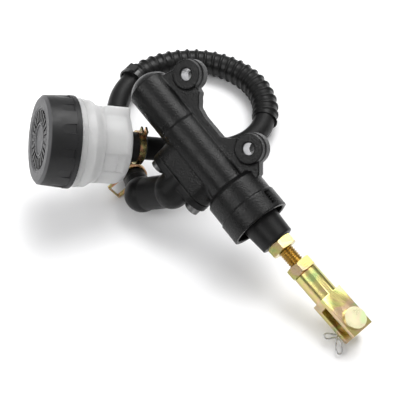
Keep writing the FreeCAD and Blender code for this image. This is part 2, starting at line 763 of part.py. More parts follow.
def make_hose():
    points = hose_route()
    edges, radii = route_edges(points)
    print("bend radii", [round(one) for one in radii])
    hose = doc.addObject("Part::Feature", "hose_swept")
    hose.Shape = swept(edges, size("hose_radius"))
    keep(hose, "hose", Placement())
    covered = edges[3 * 5 + 1:3 * 11 + 1]
    guard = doc.addObject("Part::Feature", "guard_swept")
    guard.Shape = swept(covered, size("guard_radius")).cut(
        swept(covered, size("guard_inside_radius")))
    keep(guard, "hose_guard", Placement())
    tie_spot = (points[11] + points[12]) * 0.5
    heading = points[11] - points[12]
    frame = Placement(tie_spot + heading * 0.14, Rotation(X_AXIS, heading))
    band = turned("tie_band", ring_profile(
        "-tie_width / 2", "tie_width / 2", "guard_radius + 0.2", "guard_radius + 1.2"))
    head = box("tie_head", ("-tie_width / 2 - 0.6", "-2.6", "guard_radius + 0.8"),
               ("tie_width / 2 + 0.6", "2.6", "guard_radius + 3.4"))
    keep(fuse("tie", band, head), "guard_tie", frame)


# ---- inlet elbow --------------------------------------------------------------------

def bar_between(name, first, last, radius):
    """A round bar between two points of the row frame."""
    bar = doc.addObject("Part::Cylinder", name)
    bind(bar, Radius=radius)
    bar.Height = (last - first).Length
    bar.Placement = turned_to(last - first, first)
    return bar


def ball_at(name, centre, radius):
    ball = doc.addObject("Part::Sphere", name)
    bind(ball, Radius=radius)
    ball.Placement.Base = centre
    return ball


def make_elbow():
    """The moulded elbow: a flange and stub on the pad, a corner and an arm to the hose."""
    hose_end = hose_route()[-1]
    arrival = (hose_end - hose_route()[-2]).normalize()
    arm_start = hose_end + arrival * 0.1
    corner = hose_end + arrival * size("elbow_arm")
    knee = CYLINDER.multVec(Vector(size("inlet_station"), -size("elbow_station"), 0))
    flange = oval("flange", "pad_face", "pad_face + flange_thickness")
    stub = cylinder("stub", "pad_face", "elbow_station", "stub_radius", Y_AXIS.negative(),
                    ("inlet_station", "0", "0"))
    passages = [
        cylinder("stub_hole", "pad_face - 1", "elbow_station", "elbow_hole_radius",
                 Y_AXIS.negative(), ("inlet_station", "0", "0")),
        cylinder("oring_seat", "pad_face - 1", "pad_face + 2 * oring_wire_radius",
                 "oring_radius + oring_wire_radius + 0.1", Y_AXIS.negative(),
                 ("inlet_station", "0", "0")),
    ]
    passages += [cylinder(f"flange_hole_{index}", "pad_face - 1",
                          "pad_face + flange_thickness + 1", "pad_screw_radius + 0.3",
                          Y_AXIS.negative(), (f"inlet_station {sign} pad_screw_offset", "0", "0"))
                 for index, sign in enumerate("-+")]
    for piece in [flange, stub] + passages:
        piece.Placement = CYLINDER.multiply(piece.Placement)
    solids = [flange, stub, ball_at("knee", knee, "stub_radius"),
              bar_between("lower_arm", knee, corner, "elbow_radius"),
              ball_at("corner", corner, "elbow_radius + 0.8"),
              bar_between("hose_arm", corner, arm_start, "hose_radius + 0.3")]
    passages += [ball_at("knee_hole", knee, "elbow_hole_radius"),
                 bar_between("lower_hole", knee, corner, "elbow_hole_radius"),
                 ball_at("corner_hole", corner, "elbow_hole_radius"),
                 bar_between("arm_hole", corner, arm_start + arrival, "elbow_hole_radius")]
    elbow = cut("elbow_cut", fuse("elbow_solid", *solids), fuse("elbow_holes", *passages))
    keep(elbow, "inlet_elbow", Placement())
    oring = torus("oring", ("inlet_station", "-(pad_face + oring_wire_radius)", "0"),
                  "oring_radius", "oring_wire_radius - 0.02", Y_AXIS)
    keep(oring, "elbow_oring", CYLINDER)
    screws = []
    seat = "pad_face + flange_thickness"
    for index, sign in enumerate("-+"):
        place = (f"inlet_station {sign} pad_screw_offset", "0", "0")
        down = Y_AXIS.negative()
        head = cylinder(f"screw_head_{index}", seat, f"{seat} + screw_head_height",
                        "screw_head_radius", down, place)
        shank = cylinder(f"screw_shank_{index}", "pad_face - screw_shank + 0.5",
                         f"{seat} + 0.5", "pad_screw_radius - 0.03", down, place)
        socket = cylinder(f"screw_socket_{index}", f"{seat} + screw_head_height - 2.2",
                          f"{seat} + screw_head_height + 1", "screw_hex_radius", down, place)
        screws.append(cut(f"screw_{index}", fuse(f"screw_solid_{index}", head, shank), socket))
    pair = doc.addObject("Part::Compound", "screw_pair")
    pair.Links = screws
    keep(pair, "elbow_screws", CYLINDER)


def make_elbow_clamp():
    """A strip clamp round the hose's end, with its square ear."""
    points = hose_route()
    heading = points[-1] - points[-2]
    centre = points[-1] - heading * (5.0 / heading.Length)
    frame = Placement(centre, Rotation(X_AXIS, heading))
    half = "clamp_width / 2"
    band = turned("elbow_band", ring_profile(
        f"-{half}", half, "hose_radius + 0.03", "hose_radius + clamp_strip"))
    outer = box("ear_outer", (f"-{half}", "-hose_radius - 8.0", "-3.9"),
                (half, "-hose_radius - 0.4", "3.9"))
    inner = box("ear_inner", (f"-{half} - 1", "-hose_radius - 7.1", "-3.0"),
                (f"{half} + 1", "-hose_radius - 1.6", "3.0"))
    keep(fuse("elbow_clamp_solid", band, cut("ear", outer, inner)), "elbow_clamp", frame)


# ---- build, check and write ---------------------------------------------------------

make_casting()
make_spring()
make_piston_set()
make_retainers()
make_pushrod()
make_nut("stop_nut", "rod_stop_nut", "stop_nut_start", "stop_nut_thickness")
make_nut("jam_nut", "clevis_jam_nut", "jam_nut_start", "jam_nut_thickness")
make_boot()
make_clevis()
make_clevis_pin()
make_clip()
make_cap()
make_cap_lining()
make_bottle()
make_outlet_sleeve()
make_hose()
make_elbow()
make_elbow_clamp()
doc.recompute()

for thing in doc.Objects:
    if {"Invalid", "Error"} & set(thing.State):
        raise RuntimeError(f"{thing.Name} failed: {thing.State}")
for thing in PARTS:
    if thing.Shape.isNull() or not thing.Shape.isValid():
        raise RuntimeError(f"{thing.Label} has a bad shape")

os.makedirs("parts", exist_ok=True)
for thing in PARTS:
    thing.Shape.exportStep(f"parts/{thing.Label}.step")
    limits = thing.Shape.BoundBox
    print(f"{thing.Label}: {len(thing.Shape.Solids)} solid, {thing.Shape.Volume:.0f} mm3, "
          f"z {limits.ZMin:.1f} to {limits.ZMax:.1f}")
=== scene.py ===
"""Rear brake master cylinder with its remote reservoir: the pieces that are seen.

Object places are in metres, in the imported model's frame, whose origin is the front ear's hole.
Sizes in the tables below are in millimetres, in the frame of the barrel, rod or reservoir.
"""
import math

import bmesh
import bpy
import numpy as np
from mathutils import Matrix, Vector


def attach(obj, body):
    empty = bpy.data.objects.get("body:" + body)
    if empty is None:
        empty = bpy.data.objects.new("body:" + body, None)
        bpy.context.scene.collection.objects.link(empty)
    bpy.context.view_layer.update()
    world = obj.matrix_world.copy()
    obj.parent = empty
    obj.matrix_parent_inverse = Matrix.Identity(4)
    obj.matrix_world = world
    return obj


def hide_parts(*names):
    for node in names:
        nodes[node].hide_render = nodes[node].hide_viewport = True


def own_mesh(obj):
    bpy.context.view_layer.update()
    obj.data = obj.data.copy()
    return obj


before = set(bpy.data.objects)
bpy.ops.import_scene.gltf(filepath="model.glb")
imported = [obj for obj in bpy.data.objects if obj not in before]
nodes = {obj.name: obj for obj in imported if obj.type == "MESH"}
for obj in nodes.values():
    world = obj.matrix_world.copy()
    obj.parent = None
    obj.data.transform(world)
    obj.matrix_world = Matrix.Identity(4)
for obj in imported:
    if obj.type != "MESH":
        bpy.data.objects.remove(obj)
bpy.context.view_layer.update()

MM = 0.001


# ---- frames -------------------------------------------------------------------------

def frame_at(base, yaw, pitch, roll=0.0):
    """A placement in metres from a base in millimetres and yaw, pitch and roll in degrees."""
    turn = (Matrix.Rotation(math.radians(yaw), 4, "Z")
            @ Matrix.Rotation(math.radians(pitch), 4, "Y")
            @ Matrix.Rotation(math.radians(roll), 4, "X"))
    return Matrix.Translation(Vector(base) * MM) @ turn


BARREL_YAW = -50.0
BARREL_PITCH = 18.0
BARREL_ROLL = 48.0
ROD_LEAN = 2.2
EAR_HOLE = (12.0, 21.5, 5.0)
EAR_SPACING = 50.0
BALL_STATION = 70.4
CAP_FACE = (-74.1, -22.0, -23.9)
CAP_YAW = 13.7
CAP_PITCH = 20.0
turned = frame_at((0, 0, 0), BARREL_YAW, BARREL_PITCH, BARREL_ROLL)
CYLINDER = Matrix.Translation(-(turned @ (Vector(EAR_HOLE) * MM))) @ turned
ball = CYLINDER @ Vector((BALL_STATION * MM, 0, 0))
ROD = frame_at(ball / MM, BARREL_YAW + ROD_LEAN, BARREL_PITCH)
RESERVOIR = frame_at(CAP_FACE, CAP_YAW, CAP_PITCH)
BENCH = -74.6 * MM


# ---- camera and light ---------------------------------------------------------------

bpy.context.scene.view_settings.view_transform = "Standard"

ELEVATION = math.radians(50.0)
CAMERA_DISTANCE = 475.5
CAMERA_TARGET = (7.24, -30.26, -61.24)
target = Vector(CAMERA_TARGET) * MM
back = Vector((0, -math.cos(ELEVATION), math.sin(ELEVATION)))
camera = bpy.data.objects.new("camera", bpy.data.cameras.new("camera"))
camera.data.lens = 81.0
camera.data.sensor_width = 36.0
camera.data.clip_start = 0.01
camera.data.clip_end = 50.0
camera.location = target + back * CAMERA_DISTANCE * MM
camera.rotation_mode = "QUATERNION"
camera.rotation_quaternion = (-back).to_track_quat("-Z", "Y")
bpy.context.scene.collection.objects.link(camera)
bpy.context.scene.camera = camera


def area_light(name, place, aim, width, power):
    """A square light aimed at a point; metres and watts."""
    lamp = bpy.data.lights.new(name, "AREA")
    lamp.shape = "SQUARE"
    lamp.size = width
    lamp.energy = power
    lit = bpy.data.objects.new(name, lamp)
    lit.location = place
    lit.rotation_mode = "QUATERNION"
    lit.rotation_quaternion = (Vector(aim) - Vector(place)).to_track_quat("-Z", "Y")
    bpy.context.scene.collection.objects.link(lit)


MIDDLE = (0, -0.02, -0.05)
SKY_STRENGTH = 0.62
area_light("key_light", (0.34, 0.42, 0.95), MIDDLE, 0.7, 7.0)
area_light("top_light", (0.1, 0.5, 1.5), MIDDLE, 1.1, 9.0)
area_light("fill_light", (-0.75, -0.55, 0.75), (-0.05, -0.02, -0.05), 0.6, 5.0)
world = bpy.data.worlds.new("world")
world.use_nodes = True
bpy.context.scene.world = world
sky = world.node_tree.nodes["Background"]
sky.inputs["Strength"].default_value = SKY_STRENGTH


# ---- materials ----------------------------------------------------------------------

def add(tree, kind, inputs=None, **settings):
    """A shader node with its settings and inputs; an input is a value or another node's socket."""
    node = tree.nodes.new(kind)
    for name, value in settings.items():
        setattr(node, name, value)
    for name, value in (inputs or {}).items():
        if isinstance(value, bpy.types.NodeSocket):
            tree.links.new(value, node.inputs[name])
        else:
            node.inputs[name].default_value = value
    return node


def shade_sky():
    """A studio's light: a bright ceiling over dimmer walls."""
    tree = world.node_tree
    aim = add(tree, "ShaderNodeTexCoord").outputs["Generated"]
    height = add(tree, "ShaderNodeSeparateXYZ", {"Vector": aim}).outputs["Z"]
    tone = ramp(tree, height, [(0.0, grey(0.30)), (0.22, grey(0.38)), (0.5, grey(0.95)),
                               (1.0, grey(1.0))])
    tree.links.new(tone, sky.inputs["Color"])


def noise(tree, scale, detail=3.0, distortion=0.0):
    """Noise in the object's own coordinates; the scale is in features per metre."""
    where = add(tree, "ShaderNodeTexCoord")
    return add(tree, "ShaderNodeTexNoise", {
        "Vector": where.outputs["Object"], "Scale": scale, "Detail": detail,
        "Distortion": distortion}).outputs["Fac"]


def ramp(tree, factor, stops):
    """A colour ramp through (position, colour) stops."""
    node = add(tree, "ShaderNodeValToRGB", {"Fac": factor})
    line = node.color_ramp.elements
    while len(line) < len(stops):
        line.new(0.5)
    for element, (place, colour) in zip(line, stops):
        element.position = place
        element.color = (*colour, 1.0)
    return node.outputs["Color"]


def spread(tree, factor, low, high):
    """The factor's middle range stretched to run from low to high."""
    return add(tree, "ShaderNodeMapRange", {
        "Value": factor, "From Min": 0.3, "From Max": 0.7,
        "To Min": low, "To Max": high}).outputs["Result"]


GRAIN_HEIGHT = 0.25 * MM


def finish(name, stops, scale, rough, bump, bump_scale, distortion=0.0, **sockets):
    """A finish: colour and roughness vary with noise, and a finer noise gives the grain."""
    surface = bpy.data.materials.new(name)
    surface.use_nodes = True
    tree = surface.node_tree
    shader = tree.nodes["Principled BSDF"]
    for socket, value in sockets.items():
        shader.inputs[socket.replace("_", " ")].default_value = value
    broad = noise(tree, scale, 4.0, distortion)
    tree.links.new(ramp(tree, broad, stops), shader.inputs["Base Color"])
    fine = noise(tree, bump_scale, 2.0)
    tree.links.new(spread(tree, noise(tree, scale * 2.3), *rough), shader.inputs["Roughness"])
    relief = add(tree, "ShaderNodeBump", {
        "Height": fine, "Strength": bump, "Distance": GRAIN_HEIGHT})
    tree.links.new(relief.outputs["Normal"], shader.inputs["Normal"])
    return surface


def grey(level, blue=0.0):
    """A grey, with its blue raised by a share."""
    return (level, level, level * (1 + blue))


def two_tone(first, second):
    """Ramp stops that leave a flat patch of each colour at its end."""
    return [(0.35, first), (0.65, second)]


shade_sky()
casting_paint = finish(
    "casting_paint", two_tone(grey(0.0025), grey(0.0045)), 60.0, (0.24, 0.36), 0.8, 1300.0,
    Specular_IOR_Level=0.22)
elbow_nylon = finish(
    "elbow_nylon", two_tone(grey(0.0025), grey(0.005)), 90.0, (0.3, 0.44), 0.5, 1400.0,
    Specular_IOR_Level=0.18)
boot_rubber = finish(
    "boot_rubber", two_tone(grey(0.0025), grey(0.005)), 120.0, (0.3, 0.42), 0.35, 2000.0,
    Specular_IOR_Level=0.22)
hose_rubber = finish(
    "hose_rubber", two_tone(grey(0.003), grey(0.006)), 140.0, (0.36, 0.5), 0.3, 2200.0,
    Specular_IOR_Level=0.24)
guard_nylon = finish(
    "guard_nylon", two_tone(grey(0.003), grey(0.005)), 200.0, (0.28, 0.4), 0.15, 2600.0,
    Specular_IOR_Level=0.26)
tie_nylon = finish(
    "tie_nylon", two_tone(grey(0.012), grey(0.02)), 200.0, (0.16, 0.26), 0.08, 2600.0)
cap_nylon = finish(
    "cap_nylon", two_tone(grey(0.009, 0.05), grey(0.013, 0.05)), 90.0, (0.36, 0.48), 0.22,
    3000.0, Specular_IOR_Level=0.3)
face_nylon = finish(
    "face_nylon", two_tone(grey(0.11, 0.03), grey(0.15, 0.03)), 90.0, (0.36, 0.48), 0.22,
    3000.0)
seal_rubber = finish(
    "seal_rubber", two_tone(grey(0.010), grey(0.018)), 150.0, (0.4, 0.55), 0.15, 2500.0)
spring_steel = finish(
    "spring_steel", two_tone(grey(0.42), grey(0.58)), 220.0, (0.22, 0.36), 0.12, 4000.0,
    Metallic=1.0)
dark_zinc = finish(
    "dark_zinc", two_tone(grey(0.10), grey(0.18)), 200.0, (0.28, 0.42), 0.15, 3500.0,
    Metallic=1.0)
turned_alloy = finish(
    "turned_alloy", two_tone(grey(0.62), grey(0.75)), 180.0, (0.22, 0.36), 0.1, 4500.0,
    Metallic=1.0)
milky = finish(
    "milky", two_tone((0.93, 0.93, 0.925), (0.97, 0.97, 0.965)), 70.0, (0.28, 0.4), 0.12,
    900.0, Transmission_Weight=0.4, IOR=1.38, Subsurface_Weight=0.8,
    Subsurface_Radius=(1.0, 1.0, 1.0), Subsurface_Scale=0.012)

ZINC_STOPS = [
    (0.30, (0.42, 0.52, 0.20)), (0.42, (0.58, 0.54, 0.20)), (0.50, (0.60, 0.50, 0.20)),
    (0.58, (0.66, 0.46, 0.30)), (0.70, (0.46, 0.58, 0.26))]
yellow_zinc = finish(
    "yellow_zinc", ZINC_STOPS, 75.0, (0.16, 0.28), 0.12, 2600.0, 1.2, Metallic=1.0)
pale_zinc = finish(
    "pale_zinc", [(0.35, (0.76, 0.74, 0.46)), (0.5, (0.80, 0.70, 0.48)),
                  (0.65, (0.66, 0.76, 0.42))],
    110.0, (0.26, 0.36), 0.04, 2600.0, 0.8, Metallic=1.0)
thread_zinc = finish(
    "thread_zinc", [(0.35, (0.36, 0.22, 0.05)), (0.65, (0.50, 0.34, 0.10))],
    160.0, (0.2, 0.34), 0.1, 3000.0, Metallic=1.0)
clamp_zinc = finish(
    "clamp_zinc", [(0.32, (0.36, 0.40, 0.18)), (0.46, (0.60, 0.44, 0.18)),
                   (0.58, (0.62, 0.30, 0.18)), (0.70, (0.38, 0.42, 0.22))],
    150.0, (0.2, 0.34), 0.12, 2600.0, 1.0, Metallic=1.0)


def blend_in(tree, shader, where, colour):
    """Blend a colour into a finish where a socket is 1."""
    under = shader.inputs["Base Color"].links[0].from_socket
    mixed = add(tree, "ShaderNodeMixRGB", {
        "Fac": where, "Color1": under, "Color2": (*colour, 1.0)})
    tree.links.new(mixed.outputs["Color"], shader.inputs["Base Color"])


PALE_FACE = (0.085, 0.085, 0.088)
FACE_DEPTHS = (0.95, 1.6)


def pale_cap_face(surface):
    """The cap's face is a paler grey, told by its depth along the cap's axis."""
    tree = surface.node_tree
    axis = (RESERVOIR.to_3x3() @ Vector((1, 0, 0))).normalized()
    place = add(tree, "ShaderNodeTexCoord").outputs["Object"]
    offset = add(tree, "ShaderNodeVectorMath", {0: place, 1: RESERVOIR.translation},
                 operation="SUBTRACT")
    depth = add(tree, "ShaderNodeVectorMath", {0: offset.outputs[0], 1: axis},
                operation="DOT_PRODUCT")
    shallow = add(tree, "ShaderNodeMapRange", {
        "Value": depth.outputs["Value"], "From Min": FACE_DEPTHS[0] * MM,
        "From Max": FACE_DEPTHS[1] * MM, "To Min": 1.0, "To Max": 0.0})
    blend_in(tree, tree.nodes["Principled BSDF"], shallow.outputs["Result"], PALE_FACE)


BARE_METAL = (0.40, 0.40, 0.41)
BARE_RADIUS = 3.22
BARE_BELOW = -1.5


def bare_ear_holes(surface):
    """Bare metal inside the two ear holes, told by each hole's radius and depth."""
    tree = surface.node_tree
    shader = tree.nodes["Principled BSDF"]
    axis = (CYLINDER.to_3x3() @ Vector((0, 0, 1))).normalized()
    place = add(tree, "ShaderNodeTexCoord").outputs["Object"]
    near = None
    for station in (0.0, EAR_SPACING):
        centre = CYLINDER @ (Vector((EAR_HOLE[0] + station, *EAR_HOLE[1:])) * MM)
        offset = add(tree, "ShaderNodeVectorMath", {0: place, 1: centre},
                     operation="SUBTRACT")
        across = add(tree, "ShaderNodeVectorMath", {0: offset.outputs[0], 1: axis},
                     operation="CROSS_PRODUCT")
        away = add(tree, "ShaderNodeVectorMath", {0: across.outputs[0]}, operation="LENGTH")
        close = add(tree, "ShaderNodeMath", {0: away.outputs["Value"], 1: BARE_RADIUS * MM},
                    operation="LESS_THAN").outputs[0]
        height = add(tree, "ShaderNodeVectorMath", {0: offset.outputs[0], 1: axis},
                     operation="DOT_PRODUCT")
        deep = add(tree, "ShaderNodeMath", {0: height.outputs["Value"], 1: BARE_BELOW * MM},
                   operation="LESS_THAN").outputs[0]
        inside = add(tree, "ShaderNodeMath", {0: close, 1: deep},
                     operation="MULTIPLY").outputs[0]
        if near is None:
            near = inside
        else:
            near = add(tree, "ShaderNodeMath", {0: near, 1: inside},
                       operation="MAXIMUM").outputs[0]
    blend_in(tree, shader, near, BARE_METAL)
    tree.links.new(near, shader.inputs["Metallic"])


bare_ear_holes(casting_paint)
pale_cap_face(cap_nylon)


def paint(thing, surface):
    """Give an object its material, in place of any that it has."""
    thing.data.materials.clear()
    thing.data.materials.append(surface)


CARRIED_OVER = {
    "spring_seat": spring_steel, "primary_cup": seal_rubber, "piston": turned_alloy,
    "secondary_cup": seal_rubber, "stop_washer": dark_zinc, "circlip": spring_steel,
    "rod_stop_nut": yellow_zinc, "clevis_jam_nut": yellow_zinc, "clevis_pin": pale_zinc,
    "diaphragm_plate": cap_nylon, "diaphragm": seal_rubber, "outlet_sleeve": hose_rubber,
    "outlet_clamp": clamp_zinc, "guard_tie": tie_nylon, "elbow_oring": seal_rubber,
    "elbow_screws": dark_zinc, "reservoir_cap": cap_nylon,
}
for node_name, surface in CARRIED_OVER.items():
    paint(nodes[node_name], surface)


# ---- mesh makers --------------------------------------------------------------------

def new_mesh(name, corners, faces, surface):
    """A smooth-shaded object from corners in metres and faces."""
    mesh = bpy.data.meshes.new(name)
    mesh.from_pydata([tuple(one) for one in corners], [], faces)
    mesh.validate()
    form = bmesh.new()
    form.from_mesh(mesh)
    bmesh.ops.remove_doubles(form, verts=form.verts, dist=1e-7)
    bmesh.ops.recalc_face_normals(form, faces=form.faces)
    form.to_mesh(mesh)
    form.free()
    for face in mesh.polygons:
        face.use_smooth = True
    thing = bpy.data.objects.new(name, mesh)
    bpy.context.scene.collection.objects.link(thing)
    paint(thing, surface)
    return thing


def freeze(thing):
    """Apply an object's modifiers to its mesh."""
    graph = bpy.context.evaluated_depsgraph_get()
    graph.update()
    done = bpy.data.meshes.new_from_object(thing.evaluated_get(graph))
    thing.modifiers.clear()
    thing.data = done
    return thing


def keep_sharp(thing, degrees):
    """Smooth shading that stops at edges sharper than this."""
    thing.data.set_sharp_from_angle(angle=math.radians(degrees))


def round_point(place, station, reach, angle):
    """A point in metres, from a frame's station and radius in millimetres and an angle."""
    return place @ (Vector((station, reach * math.cos(angle), reach * math.sin(angle))) * MM)


def softened(node_name, name, voxel, passes, surface):
    """A copy of a CAD node whose edges are rounded as casting or moulding leaves them."""
    source = nodes[node_name]
    thing = bpy.data.objects.new(name, source.data.copy())
    bpy.context.scene.collection.objects.link(thing)
    form = bmesh.new()
    form.from_mesh(thing.data)
    bmesh.ops.remove_doubles(form, verts=form.verts, dist=1e-6)
    form.to_mesh(thing.data)
    form.free()
    grid = thing.modifiers.new("grid", "REMESH")
    grid.mode = "VOXEL"
    grid.voxel_size = voxel * MM
    ease = thing.modifiers.new("ease", "SMOOTH")
    ease.factor = 0.5
    ease.iterations = passes
    freeze(thing)
    for face in thing.data.polygons:
        face.use_smooth = True
    paint(thing, surface)
    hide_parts(node_name)
    return thing


def lathe(name, profile, place, surface, around, radius_at=None):
    """A surface turned about a frame's X axis from (station, radius) in millimetres."""
    corners = []
    faces = []
    for station, radius in profile:
        for step in range(around):
            angle = 2 * math.pi * step / around
            reach = radius if radius_at is None else radius_at(station, radius, angle)
            corners.append(round_point(place, station, reach, angle))
    for ring in range(len(profile) - 1):
        for step in range(around):
            after = (step + 1) % around
            faces.append((ring * around + step, ring * around + after,
                          (ring + 1) * around + after, (ring + 1) * around + step))
    return new_mesh(name, corners, faces, surface)


def closed_ring(profile):
    """The profile with its first point again, so that the turned surface closes."""
    return profile + profile[:1]


ON_AXIS = 0.001


def arc(centre, reach, first, last, count):
    """(station, radius) points round an arc, angles in degrees from the X axis."""
    angles = [math.radians(first + (last - first) * step / (count - 1))
              for step in range(count)]
    return [(centre[0] + reach * math.cos(one), centre[1] + reach * math.sin(one))
            for one in angles]


# ---- hose ---------------------------------------------------------------------------

BOTTLE_END = 45.2
SLEEVE_LENGTH = 11.0
SLEEVE_GAP = 0.1
LYING = -65.9
leaving = RESERVOIR @ (Vector((BOTTLE_END + SLEEVE_LENGTH + SLEEVE_GAP, 0, 0)) * MM)
ROUTE = [leaving] + [Vector(point) * MM for point in (
    (-4.6, -5.2, -50.0), (13.2, 1.0, -57.6), (30.2, 11.0, -63.6), (42.2, 25.0, LYING),
    (46.4, 42.0, LYING), (43.0, 59.0, LYING), (33.0, 73.0, LYING), (18.8, 82.2, LYING),
    (2.0, 85.6, LYING), (-15.0, 82.4, LYING), (-29.6, 73.0, LYING), (-38.8, 58.8, LYING),
    (-41.6, 42.0, LYING), (-39.4, 25.4, LYING), (-35.6, 9.8, -66.4), (-31.2, -4.4, -64.6),
    (-27.2, -16.0, -62.4))]
HOSE_RADIUS = 6.3


def spline_object(name, points, bevel):
    """A NURBS curve with these control points, as thick as its bevel radius in millimetres."""
    curve = bpy.data.curves.new(name, "CURVE")
    curve.dimensions = "3D"
    curve.resolution_u = 16
    curve.bevel_depth = bevel * MM
    curve.bevel_resolution = 8
    curve.use_fill_caps = bevel > 0
    spline = curve.splines.new("NURBS")
    spline.points.add(len(points) - 1)
    for spot, point in zip(spline.points, points):
        spot.co = (*point, 1.0)
    spline.order_u = 3
    spline.use_endpoint_u = True
    thing = bpy.data.objects.new(name, curve)
    bpy.context.scene.collection.objects.link(thing)
    return thing


def read_line(points):
    """The points that a route's spline passes through, with the distance along it at each."""
    guide = spline_object("guide", points, 0.0)
    bpy.context.view_layer.update()
    graph = bpy.context.evaluated_depsgraph_get()
    mesh = bpy.data.meshes.new_from_object(guide.evaluated_get(graph))
    line = np.array([tuple(one.co) for one in mesh.vertices])
    bpy.data.objects.remove(guide)
    bpy.data.meshes.remove(mesh)
    steps = np.linalg.norm(np.diff(line, axis=0), axis=1)
    return line, np.concatenate([[0.0], np.cumsum(steps)])


line, run = read_line(ROUTE)
hose = spline_object("hose_tube", ROUTE, HOSE_RADIUS)
paint(hose, hose_rubber)
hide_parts("hose")
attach(hose, "cylinder")


def along(distance):
    """The place and heading at a distance along the hose."""
    place = Vector([float(np.interp(distance, run, line[:, axis])) for axis in range(3)])
    ahead = Vector([float(np.interp(distance + MM, run, line[:, axis])) for axis in range(3)])
    behind = Vector([float(np.interp(distance - MM, run, line[:, axis])) for axis in range(3)])
    return place, (ahead - behind).normalized()


def nearest(point):
    """The distance along the hose that is nearest to a point."""
    return float(run[int(np.argmin(np.linalg.norm(line - np.array(point), axis=1)))])


RIB_PITCH = 5.3
RIB_HEIGHT = 0.95
RIB_HALF_WIDTH = 0.17
SEAM_TURN = 0.02
SEAM_HALF_WIDTH = 0.03
SEAM_DEPTH = 0.12
WRAP_RADIUS = 6.75
WRAP_INNER = 6.45
WRAP_STEP = 0.42
WRAP_SIDES = 56
guard_start = nearest((ROUTE[4] + ROUTE[5]) / 2)
guard_end = nearest((ROUTE[11] + ROUTE[12]) / 2)


def guard_radius(distance, angle):
    """The spiral guard's outer radius in millimetres: a low wrap with a narrow raised rib."""
    turn = (distance / (RIB_PITCH * MM) + angle / (2 * math.pi)) % 1.0
    rib = max(0.0, 1.0 - (abs(turn - 0.5) / RIB_HALF_WIDTH) ** 2)
    seam = max(0.0, 1.0 - abs(turn - SEAM_TURN) / SEAM_HALF_WIDTH)
    return WRAP_RADIUS + RIB_HEIGHT * math.sqrt(rib) - SEAM_DEPTH * seam


def make_guard():
    """The spiral guard as a closed sleeve: out along its ribs and back along its bore."""
    span = guard_end - guard_start
    count = int(span / (WRAP_STEP * MM))
    corners = []
    faces = []
    side = Vector((0, 0, 1))
    stations = [guard_start + span * step / count for step in range(count + 1)]
    rings = ([(distance, None) for distance in stations]
             + [(distance, WRAP_INNER) for distance in reversed(stations)])
    for distance, fixed in rings:
        place, heading = along(distance)
        across = heading.cross(side).normalized()
        up = across.cross(heading).normalized()
        for step in range(WRAP_SIDES):
            angle = 2 * math.pi * step / WRAP_SIDES
            reach = fixed if fixed else guard_radius(distance, angle)
            out = across * math.cos(angle) + up * math.sin(angle)
            corners.append(place + out * reach * MM)
    for ring in range(len(rings)):
        after_ring = (ring + 1) % len(rings)
        for step in range(WRAP_SIDES):
            after = (step + 1) % WRAP_SIDES
            faces.append((ring * WRAP_SIDES + step, ring * WRAP_SIDES + after,
                          after_ring * WRAP_SIDES + after, after_ring * WRAP_SIDES + step))
    return new_mesh("hose_spiral_guard", corners, faces, guard_nylon)


guard = make_guard()
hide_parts("hose_guard")
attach(guard, "cylinder")


# ---- castings and mouldings ---------------------------------------------------------

casting = softened("cylinder_body", "cylinder_casting", 0.42, 4, casting_paint)
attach(casting, "cylinder")
elbow = softened("inlet_elbow", "elbow_moulding", 0.36, 6, elbow_nylon)
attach(elbow, "cylinder")
bottle = softened("reservoir_bottle", "bottle_moulding", 0.45, 10, milky)
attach(bottle, "cylinder")


SHOULDER_RADIUS = 22.55
WALL_RADIUS = 19.95
RIB_SINK = 0.3
RIB_EASE = 0.15
WALL_RISE = 0.22
SHOULDER_RISE = 0.28


def make_bottle_ribs():
    """Low raised lines on the bottle: two bands, four lines along it and two short marks."""
    corners = []
    faces = []

    def patch(start, end, first, last, radius=WALL_RADIUS, rise=WALL_RISE):
        """A low curved bar over part of the wall, between two stations and two angles."""
        base = len(corners)
        steps = max(2, int((last - first) / 4))
        for step in range(steps + 1):
            angle = math.radians(first + (last - first) * step / steps)
            for station, reach in ((start, radius - RIB_SINK), (start + RIB_EASE, radius + rise),
                                   (end - RIB_EASE, radius + rise), (end, radius - RIB_SINK)):
                corners.append(round_point(RESERVOIR, station, reach, angle))
        for step in range(steps):
            for edge in range(3):
                spot = base + step * 4 + edge
                faces.append((spot, spot + 1, spot + 5, spot + 4))
            spot = base + step * 4
            faces.append((spot + 3, spot, spot + 4, spot + 7))
        faces.append((base, base + 1, base + 2, base + 3))
        tail = base + steps * 4
        faces.append((tail, tail + 3, tail + 2, tail + 1))

    patch(19.2, 20.0, 0.0, 360.0, SHOULDER_RADIUS, SHOULDER_RISE)
    patch(29.4, 30.2, 66.0, 400.0)
    for turn in (148.0, 178.0, 262.0, 292.0):
        patch(30.0, 41.2, turn, turn + 2.2)
    patch(36.4, 37.0, 150.0, 178.5)
    patch(36.4, 37.0, 264.0, 292.5)
    thing = new_mesh("bottle_ribs", corners, faces, milky)
    keep_sharp(thing, 50.0)
    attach(thing, "cylinder")


make_bottle_ribs()


# ---- pushrod ------------------------------------------------------------------------

THREAD_PITCH = 1.25
THREAD_DEPTH = 0.62
THREAD_START = 20.0
FLANK_SLOPE = 1.25
CREST_WIDTH = 0.12
BALL_RADIUS = 4.9
NECK_RADIUS = 2.5
ROD_RADIUS = 4.0
ROD_END = 66.0
ROD_TIP = 0.5


def thread_radius(station, radius, angle):
    """The bar's radius with its thread cut, run out at both ends."""
    if station < THREAD_START or station > ROD_END - ROD_TIP:
        return radius
    turn = (station / THREAD_PITCH - angle / (2 * math.pi)) % 1.0
    depth = min(1.0, max(0.0, abs(turn - 0.5) * 2 * FLANK_SLOPE - CREST_WIDTH))
    ease = min(1.0, (station - THREAD_START) / 2.0, (ROD_END - ROD_TIP - station) / 0.6)
    return radius - THREAD_DEPTH * depth * max(0.0, ease)


